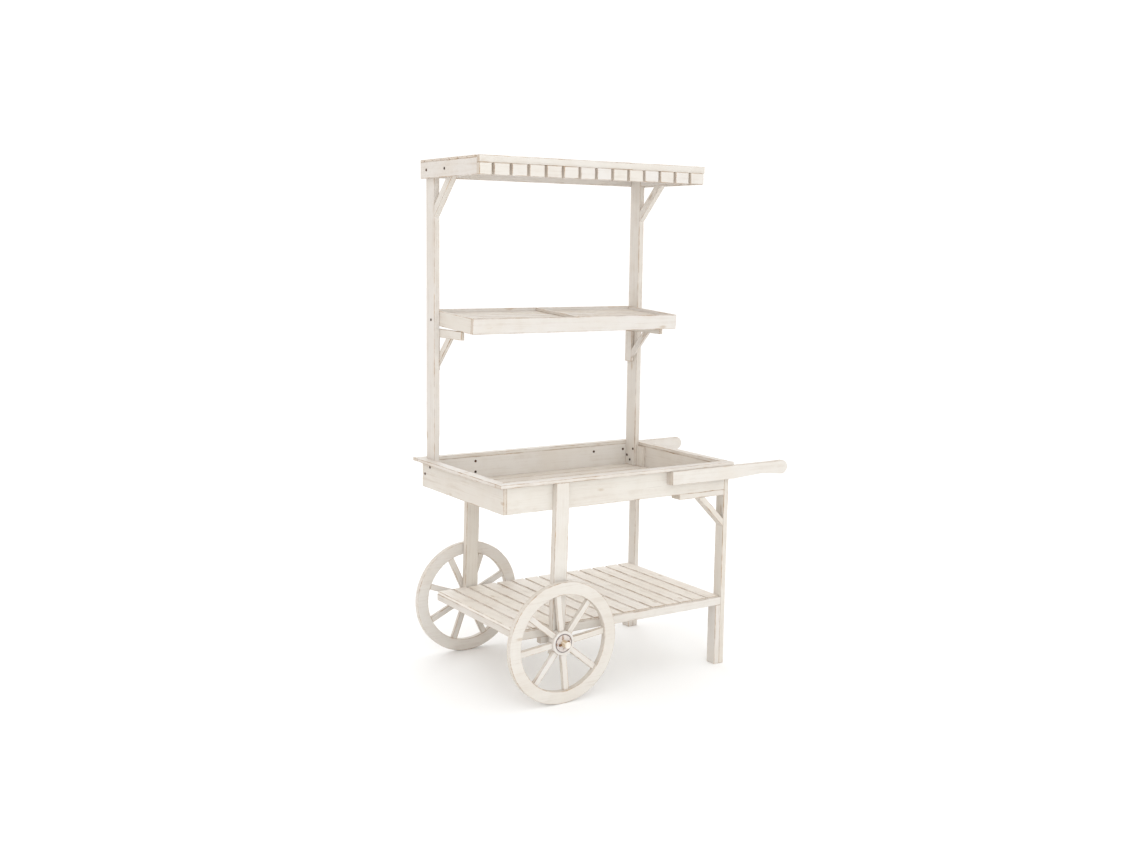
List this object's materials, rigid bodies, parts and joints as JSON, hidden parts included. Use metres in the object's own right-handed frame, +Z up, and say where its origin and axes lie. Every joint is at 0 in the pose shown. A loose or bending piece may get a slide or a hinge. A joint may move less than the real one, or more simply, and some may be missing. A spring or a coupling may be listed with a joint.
{
  "type": "push vending cart",
  "caption": "Wooden push cart with a tray, a slatted lower shelf, rear posts with a tilted display shelf and a flat canopy, two spoked wheels and push handles.",
  "frame": {"origin": "on the floor, under the centre of the bounding box", "axes": "+X towards the push handles, -Y towards the customer, +Z up"},
  "size_m": [1.254, 0.778, 1.862],
  "materials": {
    "painted_wood": "brushed cream-white paint, worn to bare wood on the edges",
    "bare_wood": "unpainted pale wood",
    "steel": "dark weathered bolt heads and washers"
  },
  "bodies": {
    "cart_frame": {"tray_front_wall": "painted_wood", "tray_back_wall": "painted_wood", "tray_left_wall": "painted_wood", "tray_right_wall": "painted_wood", "tray_floor_planks": "painted_wood", "rim_front": "painted_wood", "rim_back": "painted_wood", "rim_left": "painted_wood", "rim_right": "painted_wood", "corner_cleats": "painted_wood", "handle_front": "painted_wood", "handle_back": "painted_wood", "handle_spacers": "painted_wood", "leg_front": "painted_wood", "leg_back": "painted_wood", "foot_block_front": "painted_wood", "foot_block_back": "painted_wood", "leg_arm_front": "painted_wood", "leg_arm_back": "painted_wood", "leg_brace_front": "painted_wood", "leg_brace_back": "painted_wood", "wheel_post_front": "painted_wood", "wheel_post_back": "painted_wood", "shelf_front_rail": "painted_wood", "shelf_back_rail": "painted_wood", "shelf_left_rail": "painted_wood", "shelf_right_rail": "painted_wood", "shelf_slats": "painted_wood", "axle_cleats": "painted_wood", "tall_post_left": "painted_wood", "tall_post_right": "painted_wood", "display_front": "painted_wood", "display_back": "painted_wood", "display_left": "painted_wood", "display_right": "painted_wood", "display_divider": "painted_wood", "display_slats": "painted_wood", "display_uprights": "painted_wood", "display_arms": "painted_wood", "display_braces": "painted_wood", "canopy_end_left": "painted_wood", "canopy_end_right": "painted_wood", "canopy_front": "painted_wood", "canopy_back": "painted_wood", "canopy_slats": "painted_wood", "canopy_blocks": "painted_wood", "canopy_arms": "painted_wood", "canopy_brace_left": "painted_wood", "canopy_brace_right": "painted_wood", "axle": "bare_wood", "axle_pins": "bare_wood", "axle_washers": "steel", "frame_bolts": "steel"},
    "wheel_front": {"wheel_front_rim": "painted_wood", "wheel_front_spokes": "painted_wood", "wheel_front_hub": "painted_wood"},
    "wheel_back": {"wheel_back_rim": "painted_wood", "wheel_back_spokes": "painted_wood", "wheel_back_hub": "painted_wood"}
  },
  "joints": [
    {"name": "wheel_front_spin", "type": "hinge", "parent": "cart_frame", "child": "wheel_front", "pos_m": [-0.393, -0.35, 0.215], "axis": [0, 1, 0], "continuous": true},
    {"name": "wheel_back_spin", "type": "hinge", "parent": "cart_frame", "child": "wheel_back", "pos_m": [-0.393, 0.339, 0.215], "axis": [0, 1, 0], "continuous": true}
  ]
}
